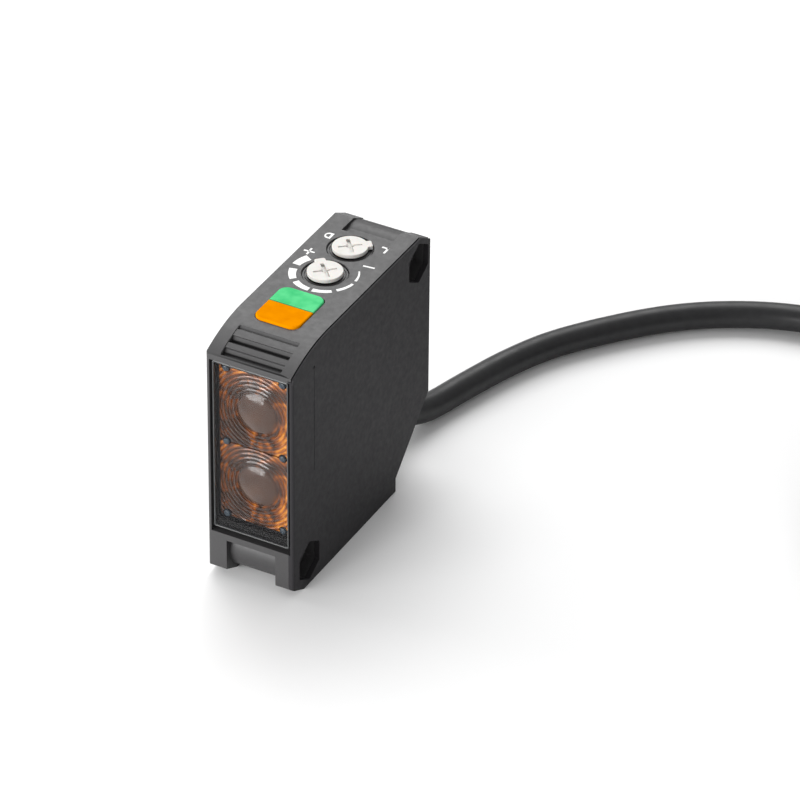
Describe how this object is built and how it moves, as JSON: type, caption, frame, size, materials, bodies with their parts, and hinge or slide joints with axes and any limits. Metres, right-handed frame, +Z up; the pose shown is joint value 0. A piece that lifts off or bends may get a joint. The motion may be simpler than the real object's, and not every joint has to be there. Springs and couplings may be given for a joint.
{
  "type": "photoelectric sensor",
  "caption": "Slim box photoelectric sensor with an amber twin-lens window, two setting knobs and indicators on top, and a cable from its slanted rear corner.",
  "frame": {"origin": "centre of the underside, on the surface the sensor stands on", "axes": "+Z up, -Y the way the window looks, +X the side with the removable cover"},
  "size_m": [0.1486, 0.1245, 0.0507],
  "materials": {
    "housing": "fine satin grain",
    "pane": "clear smoked",
    "lens": "polished amber",
    "inner_black": "matt",
    "seal": "matt",
    "board": "solder resist",
    "metal": "tinned",
    "component": "moulded",
    "emitter": "clear red",
    "lamp": "clear",
    "green_cap": "translucent green",
    "orange_cap": "translucent orange",
    "trimmer": "moulded blue",
    "knob": "satin ivory",
    "sheath": "satin cable sheath",
    "tie": "flat band",
    "lead_brown": "lead insulation",
    "lead_blue": "lead insulation",
    "lead_black": "lead insulation",
    "lead_white": "lead insulation"
  },
  "bodies": {
    "housing": {"case_body": "housing", "side_cover": "housing", "window_pane": "pane", "window_gasket": "seal", "emitter_lens": "lens", "receiver_lens": "lens", "optics_block": "inner_black", "optics_board": "board", "emitter_led": "emitter", "photodiode": "component", "receiver_shield": "metal", "main_board": "board", "board_screw_1": "metal", "board_screw_2": "metal", "filter_capacitor": "component", "control_ic": "component", "output_driver": "component", "input_diode": "component", "inductor": "component", "board_link": "component", "control_board": "board", "green_lamp": "lamp", "orange_lamp": "lamp", "sensitivity_trimmer": "trimmer", "mode_switch": "trimmer", "sensitivity_seal": "seal", "selector_seal": "seal", "indicator_green": "green_cap", "indicator_orange": "orange_cap", "cable_bush": "seal", "cable_end": "sheath", "cable_clamp": "metal", "inner_lead_brown": "lead_brown", "inner_lead_blue": "lead_blue", "inner_lead_black": "lead_black", "inner_lead_white": "lead_white", "cable": "sheath", "cable_coil": "sheath", "cable_tail": "sheath", "lead_brown": "lead_brown", "lead_blue": "lead_blue", "lead_black": "lead_black", "lead_white": "lead_white", "tip_brown": "metal", "tip_blue": "metal", "tip_black": "metal", "tip_white": "metal", "coil_tie_1": "tie", "coil_tie_2": "tie"},
    "sensitivity_adjuster": {"sensitivity_knob": "knob", "sensitivity_rotor": "knob"},
    "mode_selector": {"selector_knob": "knob", "selector_rotor": "knob"}
  },
  "joints": [
    {"name": "sensitivity_turn", "type": "hinge", "parent": "housing", "child": "sensitivity_adjuster", "pos_m": [-0.0006, 0.0031, 0.05], "axis": [0, 0, 1], "range_deg": [0, 262]},
    {"name": "selector_turn", "type": "hinge", "parent": "housing", "child": "mode_selector", "pos_m": [-0.0006, 0.0122, 0.05], "axis": [0, 0, 1], "range_deg": [0, 100]}
  ]
}
